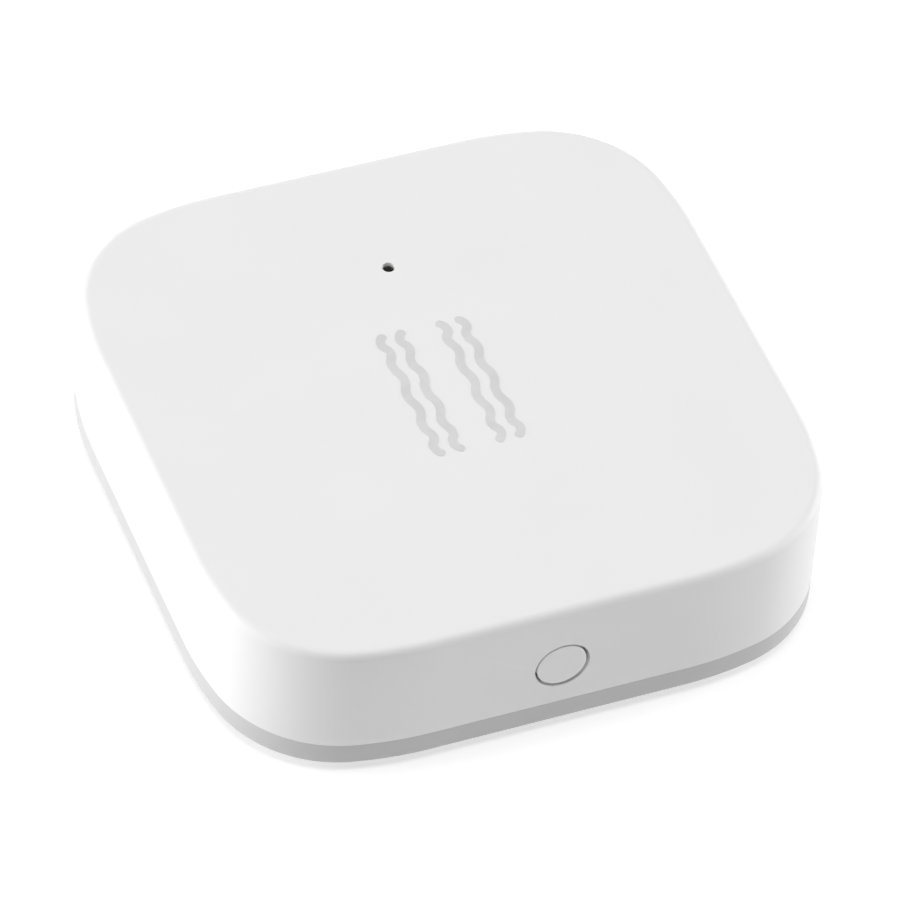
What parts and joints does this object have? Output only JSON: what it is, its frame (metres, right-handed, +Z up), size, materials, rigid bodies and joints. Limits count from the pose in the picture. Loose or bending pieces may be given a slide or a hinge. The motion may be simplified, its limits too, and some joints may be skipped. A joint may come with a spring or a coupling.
{
  "type": "vibration sensor tag",
  "caption": "Small square stick-on vibration sensor with soft corners, a side button, a light hole and a coin cell inside.",
  "frame": {"origin": "middle of the square footprint, on the underside of the adhesive pad", "axes": "+Z up out of the roof, -Y towards the button, +Y towards the light hole, +X to the right seen from the button's side"},
  "size_m": [0.036, 0.036, 0.0092],
  "materials": {
    "grey_shell": "fine spark texture",
    "pad_foam": "closed-cell foam with glue faces",
    "cushion_foam": "open foam",
    "white_shell": "fine spark texture",
    "print_grey": "pad printed ink",
    "smoked_clear": "smoked clear plastic",
    "solder_mask": "solder mask over glass fibre",
    "package_black": "moulded epoxy",
    "crystal_metal": "plated lid",
    "ferrite": "pressed ferrite",
    "capacitor_yellow": "moulded epoxy",
    "tinned_metal": "tinned",
    "ceramic_tan": "fired ceramic",
    "ceramic_black": "glazed film",
    "gold_copper": "gold over copper",
    "led_resin": "clear resin",
    "screw_steel": "zinc plated",
    "switch_black": "moulded nylon",
    "sheet_steel": "nickel plated spring",
    "plunger_white": "moulded nylon",
    "holder_black": "moulded nylon",
    "cell_steel": "brushed stainless",
    "gasket_plastic": "polypropylene",
    "cathode_black": "pressed powder",
    "lithium_grey": "soft metal"
  },
  "bodies": {
    "base": {"base_cover": "grey_shell", "adhesive_pad": "pad_foam", "cell_cushion": "cushion_foam"},
    "housing": {"top_housing": "white_shell", "vibration_icon": "print_grey", "light_pipe": "smoked_clear", "main_board": "solder_mask", "radio_chip": "package_black", "memory_chip": "package_black", "accelerometer": "package_black", "radio_crystal": "crystal_metal", "clock_crystal": "crystal_metal", "power_inductor": "ferrite", "bulk_capacitor": "capacitor_yellow", "chip_leads": "tinned_metal", "chip_capacitors": "ceramic_tan", "chip_resistors": "ceramic_black", "chip_terminals": "tinned_metal", "antenna_trace": "gold_copper", "status_led": "led_resin", "test_pads": "gold_copper", "board_screws": "screw_steel", "switch_body": "switch_black", "switch_cover": "sheet_steel", "switch_dome": "sheet_steel", "battery_holder": "holder_black", "positive_contact": "sheet_steel", "negative_contact": "sheet_steel"},
    "button": {"button_cap": "white_shell"},
    "plunger": {"switch_plunger": "plunger_white"},
    "battery": {"cell_can": "cell_steel", "cell_cap": "cell_steel", "cell_gasket": "gasket_plastic", "cathode_disc": "cathode_black", "lithium_disc": "lithium_grey"}
  },
  "joints": [
    {"name": "housing_lift", "type": "slide", "parent": "base", "child": "housing", "axis": [0, 0, 1], "range_m": [0, 0.03]},
    {"name": "button_press", "type": "slide", "parent": "housing", "child": "button", "axis": [0, 1, 0], "range_m": [0, 0.00025], "stiffness_N_per_m": 6400},
    {"name": "plunger_press", "type": "slide", "parent": "housing", "child": "plunger", "axis": [0, 1, 0], "range_m": [0, 0.00025]},
    {"name": "cell_slide", "type": "slide", "parent": "housing", "child": "battery", "axis": [0, 0, -1], "range_m": [0, 0.012]}
  ],
  "couplings": [
    {"joint": "plunger_press", "follows": "button_press", "ratio": 1},
    {"joint": "cell_slide", "follows": "housing_lift", "ratio": 0.4}
  ]
}
